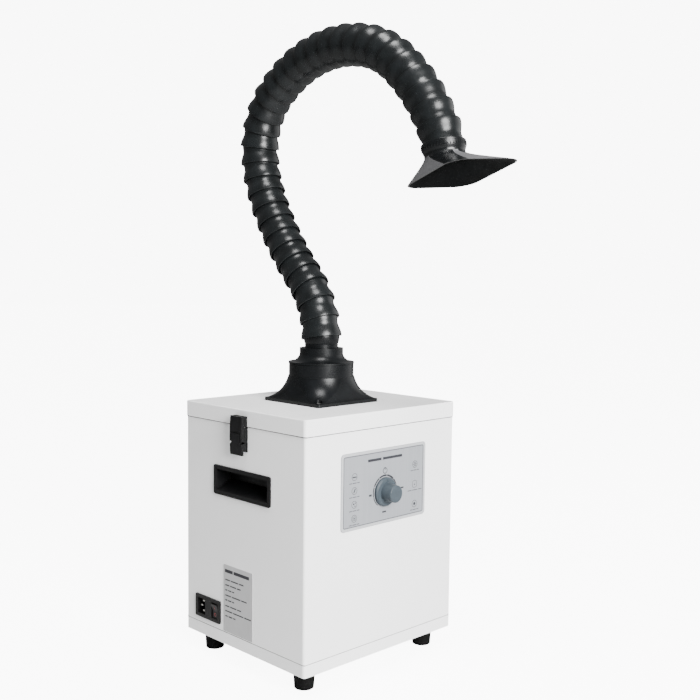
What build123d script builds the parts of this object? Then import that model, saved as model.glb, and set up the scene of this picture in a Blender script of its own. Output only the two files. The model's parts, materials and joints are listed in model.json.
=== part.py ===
from build123d import *
import math
import os

# Benchtop solder fume extractor: a steel cabinet with a lift-off lid, an articulated
# arm of snap-together ball rings that leans back and arches over the front, and a
# flared horn at its end.
# +Z is up, the control panel faces -Y, and +X is to the right seen from the front.
# The origin is on the ground at the centre of the cabinet.  Millimetres.

# Heights are measured from a datum this far above the ground, and every solid is lifted by
# it when it is written.
DATUM = 12.0

# Cabinet
WIDTH = 280.0
DEPTH = 250.0
TRAY_BOTTOM = 15.0
TRAY_TOP = 31.4
SHELL_BOTTOM = 31.8
SHELL_TOP = 318.0
LID_BOTTOM = 318.8
LID_TOP = 340.0
LID_OVERHANG = 1.0
SHEET = 1.5
CORNER_RADIUS = 4.0
FOOT_INSET_X = 27.0
FOOT_INSET_Y = 30.0
FOOT_TOP_RADIUS = 14.5
FOOT_BOTTOM_RADIUS = 12.8
FOOT_RECESS_RADIUS = 6.0
SCREW_RADIUS = 2.4
RETURN_FLANGE = 12.0
UPSTAND_TOP = 330.0
UPSTAND_INSET = 8.0

# Front panel and speed control
PANEL_WIDTH = 160.0
PANEL_HEIGHT = 101.0
PANEL_CENTRE_Z = 239.5
PANEL_THICKNESS = 0.8
KNOB_Z = 231.5
KNOB_SKIRT_RADIUS = 19.5
KNOB_GRIP_RADIUS = 11.5
KNOB_HEIGHT = 21.0
SHAFT_RADIUS = 3.0

# Left side
HANDLE_Z = 239.5
HANDLE_LENGTH = 119.0
HANDLE_HEIGHT = 40.0
HANDLE_RIM = 5.5
HANDLE_PROUD = 2.0
HANDLE_DEPTH = 26.0
INLET_Y = 73.5
INLET_Z = 55.5
INLET_LENGTH = 56.0
INLET_HEIGHT = 31.5
SOCKET_Y = 87.5
ROCKER_Y = 58.0
ROCKER_WIDTH = 13.0
ROCKER_HEIGHT = 21.0
ROCKER_TILT = 8.0
PLATE_Y = 8.0
PLATE_Z = 79.5
PLATE_WIDTH = 62.0
PLATE_HEIGHT = 92.0

# Draw latches, in outward distance from the side wall, width along Y, and height
LATCH_HALF_WIDTH = 12.0
LEVER_PIVOT = (5.0, 310.0)
BAIL_PIVOT = (7.0, 301.0)
LATCH_PIN_RADIUS = 1.2

# Hose flange and swivelling cuff
FLANGE_SIZE = 114.0
FLANGE_THICKNESS = 4.5
COLLAR_RADIUS = 45.4
COLLAR_TOP = 393.0
COLLAR_BORE = 42.4
DUCT_RADIUS = 40.0
CUFF_TOP_RADIUS = 30.5
CUFF_SHOULDER = 415.0

# Arm: bell-shaped rings, each with a socket at its lip and a ball at its other end
RING_PITCH = 24.0
BELL_RADIUS = 28.0
SOCKET_RADIUS = 25.5
BALL_RADIUS = 25.2
BORE_RADIUS = 20.5
LIP_REACH = 1.0
BALL_REACH = 7.0
ARM_BASE_Z = 430.0
FIRST_RING_LEAN = -9.5
# Number of ring joints and the bend at each, in degrees, forward positive
REST_BENDS = ((3, -10.5), (1, -1.5), (4, 3.0), (2, 4.5), (2, 8.5), (4, 13.5), (4, 7.0), (4, 6.5),
              (3, 9.0), (4, 5.0), (2, 9.0))
RINGS_PER_LINK = 2

# Hood: an angled horn, its mouth set forward of the neck
HOOD_WIDTH = 98.0
HOOD_DEPTH = 131.0
HOOD_CORNER = 27.0
HOOD_LENGTH = 43.0
HOOD_OFFSET = 20.5
HOOD_WALL = 2.5
HOOD_TURN = 20.0
HOOD_NECK_RADIUS = 25.6
HOOD_NECK_TOP = 18.0
HORN_STEPS = ((14.0, 0.0), (21.0, 0.13), (32.0, 0.46), (HOOD_LENGTH, 1.0))

# Filters and blower
FILTER_WIDTH = 214.0
FILTER_DEPTH = 200.0
FILTER_CENTRE_Y = 8.0
SHELF_Z = 140.0
BLOWER_RADIUS = 80.0
BLOWER_BOTTOM = 62.0
BLOWER_TOP = 118.0
BLOWER_WALL = 2.5
BLOWER_INLET_RADIUS = 44.0
IMPELLER_RADIUS = 66.0
IMPELLER_BLADES = 12
MOTOR_RADIUS = 38.0
MOTOR_BOTTOM = 34.0
MOTOR_SHAFT_RADIUS = 4.0
EXHAUST_X = 46.0
EXHAUST_Z = 90.0
EXHAUST_WIDTH = 52.0
EXHAUST_HEIGHT = 48.0

CLEARANCE = 0.3
FIT = 0.05


def block(x0, x1, y0, y1, z0, z1):
    """A box between two corners."""
    return Pos((x0 + x1) / 2, (y0 + y1) / 2, (z0 + z1) / 2) * Box(x1 - x0, y1 - y0, z1 - z0)


def rod(radius, start, end):
    """A round bar between two points that lie on one axis."""
    start, end = Vector(*start), Vector(*end)
    span = end - start
    return Plane(origin=start, z_dir=span.normalized()) * Cylinder(
        radius, span.length, align=(Align.CENTER, Align.CENTER, Align.MIN)
    )


def slab(width, depth, corner, z0, z1):
    """A rounded rectangle, standing from z0 to z1."""
    return extrude(Pos(0, 0, z0) * RectangleRounded(width, depth, corner), z1 - z0)


def turned(profile):
    """A solid of revolution about Z from a closed face in the XZ plane."""
    return revolve(profile, Axis.Z)


def save(name, *solids):
    """Write one sub-part, as one solid or a group of separate solids."""
    lifted = [Pos(0, 0, DATUM) * solid for solid in solids]
    shape = lifted[0] if len(lifted) == 1 else Compound(children=lifted)
    shape.label = name
    export_step(shape, f"parts/{name}.step")


# ---------------------------------------------------------------- cabinet

def foot_places():
    x, y = WIDTH / 2 - FOOT_INSET_X, DEPTH / 2 - FOOT_INSET_Y
    return [(x, y), (-x, y), (-x, -y), (x, -y)]


def side_tray(width, depth, height):
    """An open-topped pan of sheet, standing on z = 0."""
    outer = slab(width, depth, CORNER_RADIUS, 0, height)
    inner = slab(width - 2 * SHEET, depth - 2 * SHEET, CORNER_RADIUS - SHEET, SHEET, height)
    return outer - inner


def base_tray():
    tray = Pos(0, 0, TRAY_BOTTOM) * side_tray(WIDTH, DEPTH, TRAY_TOP - TRAY_BOTTOM)
    for x, y in foot_places():
        tray += rod(7, (x, y, TRAY_BOTTOM), (x, y, TRAY_TOP))
        tray -= rod(SCREW_RADIUS + CLEARANCE, (x, y, TRAY_BOTTOM), (x, y, TRAY_TOP))
    return tray


def cabinet_shell():
    shell = slab(WIDTH, DEPTH, CORNER_RADIUS, SHELL_BOTTOM, SHELL_TOP)
    shell -= slab(WIDTH - 2 * SHEET, DEPTH - 2 * SHEET, CORNER_RADIUS - SHEET,
                  SHELL_BOTTOM + SHEET, SHELL_TOP - SHEET)
    opening = 2 * (SHEET + RETURN_FLANGE)
    shell -= slab(WIDTH - opening, DEPTH - opening, CORNER_RADIUS, SHELL_TOP - SHEET, SHELL_TOP)
    upstand = slab(WIDTH - 2 * UPSTAND_INSET, DEPTH - 2 * UPSTAND_INSET, CORNER_RADIUS,
                   SHELL_TOP - SHEET, UPSTAND_TOP)
    upstand -= slab(WIDTH - 2 * UPSTAND_INSET - 2 * SHEET, DEPTH - 2 * UPSTAND_INSET - 2 * SHEET,
                    CORNER_RADIUS - SHEET, SHELL_TOP - SHEET, UPSTAND_TOP)
    shell += upstand
    shell -= slab(WIDTH - opening, DEPTH - opening, CORNER_RADIUS, SHELL_BOTTOM, SHELL_BOTTOM + SHEET)
    for x, y in foot_places():
        gusset = rod(9, (x, y, SHELL_BOTTOM), (x, y, SHELL_BOTTOM + SHEET))
        shell += gusset
        shell -= rod(SCREW_RADIUS + CLEARANCE, (x, y, SHELL_BOTTOM), (x, y, SHELL_BOTTOM + SHEET))
    for side in (-1, 1):
        shell -= handle_window(side)
    wall = -WIDTH / 2
    shell -= block(wall - 1, wall + 3, INLET_Y - INLET_LENGTH / 2 + 3, INLET_Y + INLET_LENGTH / 2 - 3,
                   INLET_Z - INLET_HEIGHT / 2 + 2, INLET_Z + INLET_HEIGHT / 2 - 2)
    shell -= rod(SHAFT_RADIUS + 2.3, (0, -DEPTH / 2 - 1, KNOB_Z), (0, -DEPTH / 2 + 3, KNOB_Z))
    shell -= block(EXHAUST_X - EXHAUST_WIDTH / 2, EXHAUST_X + EXHAUST_WIDTH / 2, DEPTH / 2 - 3,
                   DEPTH / 2 + 1, EXHAUST_Z - EXHAUST_HEIGHT / 2, EXHAUST_Z + EXHAUST_HEIGHT / 2)
    return shell


def handle_window(side):
    x = side * WIDTH / 2
    half = HANDLE_LENGTH / 2 - 3.0
    return block(x - 3, x + 3, -half, half,
                 HANDLE_Z - HANDLE_HEIGHT / 2 + 3, HANDLE_Z + HANDLE_HEIGHT / 2 - 3)


def lid():
    """A pan upside down, its skirt outside the cabinet's upstand, with the duct hole."""
    width, depth = WIDTH + 2 * LID_OVERHANG, DEPTH + 2 * LID_OVERHANG
    body = slab(width, depth, CORNER_RADIUS + LID_OVERHANG, LID_BOTTOM, LID_TOP)
    body = fillet(body.edges().group_by(Axis.Z)[-1], SHEET)
    body -= slab(width - 2 * SHEET, depth - 2 * SHEET, CORNER_RADIUS, LID_BOTTOM, LID_TOP - SHEET)
    body -= rod(DUCT_RADIUS, (0, 0, LID_TOP - 3), (0, 0, LID_TOP + 1))
    for x, y in flange_screw_places():
        body -= rod(2.0 + CLEARANCE, (x, y, LID_TOP - 3), (x, y, LID_TOP + 1))
    return body


def lid_gasket():
    """A foam strip under the lid, over the upstand's edge."""
    width, depth = WIDTH - 2 * UPSTAND_INSET + 6, DEPTH - 2 * UPSTAND_INSET + 6
    z0, z1 = UPSTAND_TOP + CLEARANCE, LID_TOP - SHEET
    return slab(width, depth, 6, z0, z1) - slab(width - 18, depth - 18, 3, z0, z1)


def rubber_foot(x, y):
    foot = Pos(x, y, -DATUM) * Cone(FOOT_BOTTOM_RADIUS, FOOT_TOP_RADIUS, DATUM + TRAY_BOTTOM,
                                    align=(Align.CENTER, Align.CENTER, Align.MIN))
    foot = fillet(foot.edges().group_by(Axis.Z)[0], 1.5)
    foot -= rod(FOOT_RECESS_RADIUS, (x, y, -DATUM), (x, y, 4))
    return foot - rod(SCREW_RADIUS + CLEARANCE, (x, y, -DATUM), (x, y, TRAY_BOTTOM))


def foot_screw(x, y):
    return rod(4.6, (x, y, 0.5), (x, y, 4)) + rod(SCREW_RADIUS, (x, y, 3), (x, y, 38))


def exhaust_grille():
    """A louvred outlet cover on the rear wall."""
    half_w, half_h = EXHAUST_WIDTH / 2 + 6, EXHAUST_HEIGHT / 2 + 6
    wall = DEPTH / 2
    grille = block(EXHAUST_X - half_w, EXHAUST_X + half_w, wall, wall + 2.5,
                   EXHAUST_Z - half_h, EXHAUST_Z + half_h)
    grille = fillet(grille.edges().filter_by(Axis.Y), 4)
    slots = 7
    pitch = EXHAUST_HEIGHT / slots
    for i in range(slots):
        z = EXHAUST_Z - EXHAUST_HEIGHT / 2 + pitch * (i + 0.5)
        grille -= block(EXHAUST_X - EXHAUST_WIDTH / 2 + 2, EXHAUST_X + EXHAUST_WIDTH / 2 - 2,
                        wall - 1, wall + 4, z - 2.2, z + 2.2)
    return grille


# ---------------------------------------------------------------- front panel

def control_panel():
    wall = -DEPTH / 2
    face = extrude(Plane(origin=(0, wall, PANEL_CENTRE_Z), x_dir=(1, 0, 0), z_dir=(0, -1, 0))
                   * RectangleRounded(PANEL_WIDTH, PANEL_HEIGHT, 5), PANEL_THICKNESS)
    return face - rod(SHAFT_RADIUS + 1.6, (0, wall - 2, KNOB_Z), (0, wall + 1, KNOB_Z))


def speed_knob():
    """A skirted knob with a smooth grip and a pointer groove, drilled for its shaft."""
    face = -DEPTH / 2 - PANEL_THICKNESS - 0.8
    knob = rod(KNOB_SKIRT_RADIUS, (0, face, KNOB_Z), (0, face - 4.5, KNOB_Z))
    knob = chamfer(knob.edges().group_by(Axis.Y)[0], 2.0)
    grip = Plane(origin=(0, face - 4, KNOB_Z), z_dir=(0, -1, 0)) * Cone(
        KNOB_GRIP_RADIUS + 0.9, KNOB_GRIP_RADIUS, KNOB_HEIGHT - 4,
        align=(Align.CENTER, Align.CENTER, Align.MIN))
    knob += fillet(grip.edges().group_by(Axis.Y)[0], 1.2)
    knob -= block(-0.5, 0.5, face - 5.1, face - 4, KNOB_Z + KNOB_GRIP_RADIUS + 1.5,
                  KNOB_Z + KNOB_SKIRT_RADIUS - 1)
    return knob - rod(SHAFT_RADIUS + FIT, (0, face + 1, KNOB_Z), (0, face - 12, KNOB_Z))


def potentiometer_shaft():
    wall = -DEPTH / 2
    return rod(SHAFT_RADIUS, (0, wall + 8.5, KNOB_Z), (0, wall - 13, KNOB_Z))


def speed_potentiometer():
    """A round body with a threaded bush, clamped to the front sheet."""
    wall = -DEPTH / 2
    body = rod(8.5, (0, wall + SHEET + CLEARANCE, KNOB_Z), (0, wall + 11.5, KNOB_Z))
    body += rod(SHAFT_RADIUS + 1.3, (0, wall + 4, KNOB_Z), (0, wall - 0.6, KNOB_Z))
    return body - rod(SHAFT_RADIUS + FIT, (0, wall - 1, KNOB_Z), (0, wall + 9, KNOB_Z))


def control_board():
    wall = -DEPTH / 2
    board = block(-36, 36, wall + 12, wall + 13.6, KNOB_Z - 30, KNOB_Z + 26)
    board += block(-30, -12, wall + 13.6, wall + 22, KNOB_Z - 26, KNOB_Z - 14)
    board += rod(5, (22, wall + 13, KNOB_Z - 16), (22, wall + 24, KNOB_Z - 16))
    board += block(-6, 14, wall + 13.6, wall + 20, KNOB_Z + 4, KNOB_Z + 18)
    return board


# ---------------------------------------------------------------- side fittings

def handle_cup(side):
    """A recessed grip: a rim on the wall and a pocket that slopes in under the fingers."""
    x = side * WIDTH / 2
    outer, inner = x + side * HANDLE_PROUD, x - side * HANDLE_DEPTH
    half_l, half_h = HANDLE_LENGTH / 2, HANDLE_HEIGHT / 2
    rim = block(min(x, outer), max(x, outer), -half_l, half_l, HANDLE_Z - half_h, HANDLE_Z + half_h)
    rim = fillet(rim.edges().filter_by(Axis.X), 3)
    body_l, body_h = half_l - 3 - CLEARANCE, half_h - 3 - CLEARANCE
    cup = rim + block(min(outer, inner), max(outer, inner), -body_l, body_l,
                      HANDLE_Z - body_h, HANDLE_Z + body_h)
    floor = inner + side * 2.0
    pocket_l, pocket_h = half_l - HANDLE_RIM, half_h - HANDLE_RIM
    mouth = outer + side
    corners = [(mouth, -pocket_h), (mouth, pocket_h), (floor, pocket_h), (floor, -pocket_h + 12)]
    section = make_face(Polyline(*[(x, pocket_l, HANDLE_Z + z) for x, z in corners], close=True))
    return cup - extrude(section, 2 * pocket_l, dir=(0, -1, 0))


def power_inlet():
    """A snap-in module: an inlet socket beside a rocker opening."""
    wall = -WIDTH / 2
    face = wall - 2.2
    z0, z1 = INLET_Z - INLET_HEIGHT / 2, INLET_Z + INLET_HEIGHT / 2
    y0, y1 = INLET_Y - INLET_LENGTH / 2, INLET_Y + INLET_LENGTH / 2
    rim = fillet(block(face, wall, y0, y1, z0, z1).edges().filter_by(Axis.X), 2)
    module = rim + block(wall - 1, wall + 26, y0 + 3.4, y1 - 3.4, z0 + 2.4, z1 - 2.4)
    module -= block(face - 1, wall + 13, SOCKET_Y - 8.4, SOCKET_Y + 8.4, INLET_Z - 11, INLET_Z + 11)
    half_w, half_h = ROCKER_WIDTH / 2 + CLEARANCE, ROCKER_HEIGHT / 2 + CLEARANCE
    module -= block(face - 1, wall + 12, ROCKER_Y - half_w, ROCKER_Y + half_w,
                    INLET_Z - half_h, INLET_Z + half_h)
    for side in (-1, 1):
        y = ROCKER_Y + side * half_w
        module += rod(1.2, (wall + 3, y + side, INLET_Z), (wall + 3, y - side * 1.8, INLET_Z))
    for pin in inlet_pins():
        module -= pin
    return module


def inlet_pins():
    """Line, neutral and earth blades, standing in the socket."""
    wall = -WIDTH / 2
    places = ((-1.5, 7.0), (-1.5, -7.0), (2.5, 0.0))
    return [block(wall + 1, wall + 30, SOCKET_Y + dy - 2, SOCKET_Y + dy + 2,
                  INLET_Z + dz - 1, INLET_Z + dz + 1) for dy, dz in places]


def rocker_switch():
    """A rocker with two flat faces in a shallow V, at rest with its lower half pressed in."""
    wall = -WIDTH / 2
    half_w, half_h = ROCKER_WIDTH / 2, ROCKER_HEIGHT / 2 - 0.6
    crown = 3.6
    section = Polygon((-crown - 1.4, half_h), (-crown, 0), (-crown - 1.4, -half_h), (1.5, -half_h + 1),
                      (4.5, 0), (1.5, half_h - 1), align=None)
    rocker = extrude(Plane(origin=(0, half_w, 0), x_dir=(1, 0, 0), z_dir=(0, -1, 0)) * section,
                     2 * half_w)
    rocker -= rod(1.2 + FIT, (0, -half_w, 0), (0, half_w, 0))
    return Pos(wall + 3, ROCKER_Y, INLET_Z) * Rot(0, -ROCKER_TILT, 0) * rocker


def rating_plate():
    wall = -WIDTH / 2
    return extrude(Plane(origin=(wall, PLATE_Y, PLATE_Z), x_dir=(0, -1, 0), z_dir=(-1, 0, 0))
                   * RectangleRounded(PLATE_WIDTH, PLATE_HEIGHT, 1.5), 0.5)


# ---------------------------------------------------------------- draw latches

def latch_block(side, u0, u1, y0, y1, z0, z1):
    """A box given by its outward distances from one side wall."""
    xs = sorted((side * (WIDTH / 2 + u0), side * (WIDTH / 2 + u1)))
    return block(xs[0], xs[1], y0, y1, z0, z1)


def latch_rod(side, radius, centre, y0, y1):
    x = side * (WIDTH / 2 + centre[0])
    return rod(radius, (x, y0, centre[1]), (x, y1, centre[1]))


def both_cheeks(side, u0, u1, inner, outer, z0, z1):
    return latch_block(side, u0, u1, inner, outer, z0, z1) + latch_block(
        side, u0, u1, -outer, -inner, z0, z1)


def latch_base(side):
    """The plate on the cabinet, with two ears that carry the lever's pin."""
    u, z = LEVER_PIVOT
    half = LATCH_HALF_WIDTH
    base = latch_block(side, 0, 2, -half, half, 285, 314)
    base += both_cheeks(side, 1, 5.6, half - 2.2, half, 304.5, 314)
    base += both_cheeks(side, 1, u, 6.5, 8.3, z - 6, z + 2)
    for y in (-8.3, 6.5):
        base += latch_rod(side, 2.0, LEVER_PIVOT, y, y + 1.8)
    return base + latch_rod(side, LATCH_PIN_RADIUS, LEVER_PIVOT, -8.3, 8.3)


def latch_keeper(side):
    """The hook on the lid's skirt, under the bail's cross bar."""
    half = LATCH_HALF_WIDTH
    u = LID_OVERHANG
    keeper = latch_block(side, u, u + 1.5, -half, half, 320, 332)
    keeper += both_cheeks(side, u + 1, 5.6, half - 2.2, half, 320, 332)
    return keeper + latch_block(side, u + 1, 6, -7.5, 7.5, 324, 328.2)


def latch_lever(side):
    """The over-centre lever, hinged on the base, with the pin that carries the bail."""
    half, z = LATCH_HALF_WIDTH, LEVER_PIVOT[1]
    lever = latch_block(side, 7, 10, -half, half, 281, 296)
    lever += latch_block(side, 7.6, 10, -8.5, 8.5, 294, z)
    lever += both_cheeks(side, 2.6, 8, half - 1.6, half, 287, 296)
    lever += latch_block(side, LEVER_PIVOT[0], 8, -6.1, 6.1, z - 2.4, z)
    lever += latch_rod(side, 2.6, LEVER_PIVOT, -6.1, 6.1)
    lever += latch_rod(side, 2.2, BAIL_PIVOT, -8.5, 8.5)
    lever += latch_rod(side, LATCH_PIN_RADIUS, BAIL_PIVOT, -half, half)
    return lever - latch_rod(side, LATCH_PIN_RADIUS + FIT, LEVER_PIVOT, -7, 7)


def latch_bail(side):
    """Two arms from the lever's pin up to a cross bar behind a face plate."""
    half = LATCH_HALF_WIDTH
    bail = both_cheeks(side, 6, 10, half - 2.8, half, BAIL_PIVOT[1], 331.5)
    for y in (-half, half - 2.8):
        bail += latch_rod(side, 2.4, BAIL_PIVOT, y, y + 2.8)
    bail += latch_block(side, 7.6, 10, -half, half, 313, 332)
    bail += latch_block(side, 3.4, 8, -8.8, 8.8, 328.5, 331.5)
    return bail - latch_rod(side, LATCH_PIN_RADIUS + FIT, BAIL_PIVOT, -half - 1, half + 1)


# ---------------------------------------------------------------- flange and cuff

def flange_screw_places():
    offset = FLANGE_SIZE / 2 - 8
    return [(x, y) for x in (-offset, offset) for y in (-offset, offset)]


def hose_flange():
    """The moulded square-to-round base of the arm."""
    z0 = LID_TOP + FLANGE_THICKNESS
    flare_top = 376
    collar = 2 * COLLAR_RADIUS + 0.6
    flange = slab(FLANGE_SIZE, FLANGE_SIZE, 4, LID_TOP, z0)
    flange += loft([
        Pos(0, 0, z0 - 0.5) * RectangleRounded(FLANGE_SIZE - 1.5, FLANGE_SIZE - 1.5, 5),
        Pos(0, 0, z0 + 13) * RectangleRounded(97, 97, 31),
        Pos(0, 0, flare_top) * RectangleRounded(collar, collar, COLLAR_RADIUS - 1),
    ])
    flange += rod(COLLAR_RADIUS, (0, 0, z0 - 2), (0, 0, COLLAR_TOP))
    flange -= rod(COLLAR_BORE, (0, 0, LID_TOP - 1), (0, 0, COLLAR_TOP + 1))
    flange -= rod(COLLAR_BORE + 1.4, (0, 0, 381), (0, 0, 384))
    for x, y in flange_screw_places():
        flange -= rod(2.0 + CLEARANCE, (x, y, LID_TOP - 1), (x, y, z0 + 1))
        flange -= rod(4.6, (x, y, LID_TOP + 2.4), (x, y, z0 + 14))
    return flange


def flange_screw(x, y):
    head = rod(4.0, (x, y, LID_TOP + 2.7), (x, y, LID_TOP + 4.9))
    for half_x, half_y in ((2.2, 0.5), (0.5, 2.2)):
        head -= block(x - half_x, x + half_x, y - half_y, y + half_y, LID_TOP + 3.7, LID_TOP + 5)
    return head + rod(2.0, (x, y, LID_TOP - 8), (x, y, LID_TOP + 3))


def swivel_cuff():
    """The turning end piece: a spigot in the flange, a flared shoulder and the first ball."""
    z0 = COLLAR_TOP + 0.4
    rim = COLLAR_RADIUS + 0.6
    spigot = COLLAR_BORE - CLEARANCE
    bead = [(spigot, 381.3), (spigot + 1, 381.6), (spigot + 1, 383.4), (spigot, 383.7)]
    low, middle, high = [(r, ARM_BASE_Z + z) for r, z in arc_points(BALL_RADIUS, -9.6, BALL_REACH)]
    shoulder = (CUFF_TOP_RADIUS, z0 + 12.5)
    with BuildSketch(Plane.XZ) as profile:
        with BuildLine():
            Polyline((DUCT_RADIUS - 2, 380), (spigot, 380), *bead, (spigot, z0), (rim, z0),
                     (rim, z0 + 2.4))
            ThreePointArc((rim, z0 + 2.4), (34.5, z0 + 6.4), shoulder)
            Polyline(shoulder, (CUFF_TOP_RADIUS, CUFF_SHOULDER), (low[0], CUFF_SHOULDER + 0.6), low)
            ThreePointArc(low, middle, high)
            Polyline(high, (BORE_RADIUS, high[1]), (BORE_RADIUS, CUFF_SHOULDER - 3),
                     (CUFF_TOP_RADIUS - 3, CUFF_SHOULDER - 5), (CUFF_TOP_RADIUS - 3, z0 + 9),
                     (DUCT_RADIUS - 2, z0 - 1), (DUCT_RADIUS - 2, 380))
        make_face()
    return revolve(profile.sketch, Axis.Z)


# ---------------------------------------------------------------- arm

def arc_points(radius, z0, z1):
    """Start, middle and end of a circle's arc between two heights from its centre."""
    return [(math.sqrt(radius ** 2 - z ** 2), z) for z in (z0, (z0 + z1) / 2, z1)]


def waist_height():
    """Where a bell's outer sphere meets the sphere of the ball above it."""
    return (BELL_RADIUS ** 2 - BALL_RADIUS ** 2 + RING_PITCH ** 2) / (2 * RING_PITCH)


def socket_top():
    """How far the socket's sphere runs before it meets the bore."""
    return math.sqrt(SOCKET_RADIUS ** 2 - BORE_RADIUS ** 2)


def ring():
    """One bell ring about its socket's centre, with its ball one pitch further along Z."""
    bell = arc_points(BELL_RADIUS, -LIP_REACH, waist_height())
    below = waist_height() - RING_PITCH
    ball = [(r, RING_PITCH + z) for r, z in arc_points(BALL_RADIUS, below, BALL_REACH)]
    cavity = arc_points(SOCKET_RADIUS, -LIP_REACH, socket_top())
    with BuildSketch(Plane.XZ) as profile:
        with BuildLine():
            ThreePointArc(*bell)
            ThreePointArc(bell[2], ball[1], ball[2])
            Polyline(ball[2], (BORE_RADIUS, ball[2][1]), cavity[2])
            ThreePointArc(cavity[2], cavity[1], cavity[0])
            Line(cavity[0], bell[0])
        make_face()
    return revolve(profile.sketch, Axis.Z)


def arm_frames():
    """Forward distance, height and lean of every ring's socket, and of the hood's, from base to tip."""
    forward, z, lean = 0.0, ARM_BASE_Z, FIRST_RING_LEAN
    frames = [(forward, z, lean)]
    for count, bend in REST_BENDS:
        for _ in range(count):
            forward += RING_PITCH * math.sin(math.radians(lean))
            z += RING_PITCH * math.cos(math.radians(lean))
            lean += bend
            frames.append((forward, z, lean))
    return frames


def at_frame(frame):
    """The place of a ring: forward is -Y, and a positive lean tips it forward."""
    forward, z, lean = frame
    return Pos(0, -forward, z) * Rot(lean, 0, 0)


def horn(inset):
    """The hood's flare: each step is a height and how far it has grown from neck to mouth."""
    sections = []
    for z, grown in HORN_STEPS:
        width, depth, corner = (
            small + (large - small) * grown - share * inset
            for small, large, share in ((50.0, HOOD_WIDTH, 2), (50.0, HOOD_DEPTH, 2),
                                        (24.9, HOOD_CORNER, 1))
        )
        sections.append(Pos(0, HOOD_OFFSET * grown, z) * Rot(0, 0, HOOD_TURN)
                        * RectangleRounded(width, depth, corner))
    return loft(sections)


def suction_hood():
    """A bell like the rings', with a collar that opens into a wide, angled horn."""
    lip = arc_points(BELL_RADIUS, -LIP_REACH, 11.0)
    cavity = arc_points(SOCKET_RADIUS, -LIP_REACH, socket_top())
    with BuildSketch(Plane.XZ) as profile:
        with BuildLine():
            ThreePointArc(*lip)
            Polyline(lip[2], (HOOD_NECK_RADIUS, lip[2][1] + 0.8), (HOOD_NECK_RADIUS, HOOD_NECK_TOP),
                     (BORE_RADIUS, HOOD_NECK_TOP), cavity[2])
            ThreePointArc(cavity[2], cavity[1], cavity[0])
            Line(cavity[0], lip[0])
        make_face()
    flare = horn(0) - horn(HOOD_WALL)
    return revolve(profile.sketch, Axis.Z) + flare


# ---------------------------------------------------------------- filters and blower

def filter_shelf():
    """A sheet across the cabinet that carries the filters, with a turned-down edge."""
    width, depth = WIDTH - 2 * SHEET - 2 * CLEARANCE, DEPTH - 2 * SHEET - 2 * CLEARANCE
    shelf = slab(width, depth, 2.5, SHELF_Z - 10, SHELF_Z)
    shelf -= slab(width - 3, depth - 3, 1.5, SHELF_Z - 11, SHELF_Z - SHEET)
    shelf -= block(-54, 26, -depth, -100, SHELF_Z - 20, SHELF_Z + 5)
    return shelf - rod(BLOWER_INLET_RADIUS, (0, 0, SHELF_Z - 5), (0, 0, SHELF_Z + 1))


def filter_slab(z0, z1, frame):
    """A framed filter block with its medium set back from the frame on both faces."""
    body = slab(FILTER_WIDTH, FILTER_DEPTH, 2, z0, z1)
    for low, high in ((z0, z0 + 2), (z1 - 2, z1)):
        body -= slab(FILTER_WIDTH - 2 * frame, FILTER_DEPTH - 2 * frame, 2, low, high)
    return Pos(0, FILTER_CENTRE_Y, 0) * body


def blower_housing():
    """A round fan case with a hole in its top and a duct to the rear wall."""
    x0, x1 = EXHAUST_X - EXHAUST_WIDTH / 2 + 1, EXHAUST_X + EXHAUST_WIDTH / 2 - 1
    z0, z1 = BLOWER_BOTTOM + 4, BLOWER_TOP - 4
    rear = DEPTH / 2 - SHEET - CLEARANCE
    wall = BLOWER_WALL
    case = rod(BLOWER_RADIUS, (0, 0, BLOWER_BOTTOM), (0, 0, BLOWER_TOP))
    case += block(x0, x1, 0, rear, z0, z1)
    case -= rod(BLOWER_RADIUS - wall, (0, 0, BLOWER_BOTTOM + wall), (0, 0, BLOWER_TOP - wall))
    case -= block(x0 + wall, x1 - wall, 10, rear + 1, z0 + wall, z1 - wall)
    case -= rod(BLOWER_INLET_RADIUS, (0, 0, BLOWER_TOP - 5), (0, 0, BLOWER_TOP + 1))
    return case - rod(MOTOR_SHAFT_RADIUS + 4, (0, 0, BLOWER_BOTTOM - 1), (0, 0, BLOWER_BOTTOM + 5))


def blower_inlet_ring():
    """A flanged collar between the fan case and the hole in the shelf."""
    ring = rod(BLOWER_INLET_RADIUS + 9, (0, 0, BLOWER_TOP), (0, 0, BLOWER_TOP + 2))
    ring += rod(BLOWER_INLET_RADIUS + BLOWER_WALL, (0, 0, BLOWER_TOP),
                (0, 0, SHELF_Z - SHEET - CLEARANCE))
    return ring - rod(BLOWER_INLET_RADIUS, (0, 0, BLOWER_TOP - 1), (0, 0, SHELF_Z))


def impeller():
    """A backing disc with backward-leaning blades and a hub bored for the motor's shaft."""
    z0, z1 = BLOWER_BOTTOM + 8, BLOWER_TOP - 8
    wheel = rod(IMPELLER_RADIUS, (0, 0, z0), (0, 0, z0 + 2.5))
    wheel += rod(11, (0, 0, z0), (0, 0, z0 + 20))
    blade = Pos(IMPELLER_RADIUS - 17, 0, (z0 + z1) / 2) * Rot(0, 0, 40) * Box(30, 2, z1 - z0)
    for i in range(IMPELLER_BLADES):
        wheel += Rot(0, 0, 360 / IMPELLER_BLADES * i) * blade
    return wheel - rod(MOTOR_SHAFT_RADIUS + FIT, (0, 0, z0 - 1), (0, 0, z0 + 21))


def blower_shaft():
    return rod(MOTOR_SHAFT_RADIUS, (0, 0, MOTOR_BOTTOM + 4), (0, 0, BLOWER_BOTTOM + 26))


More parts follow.
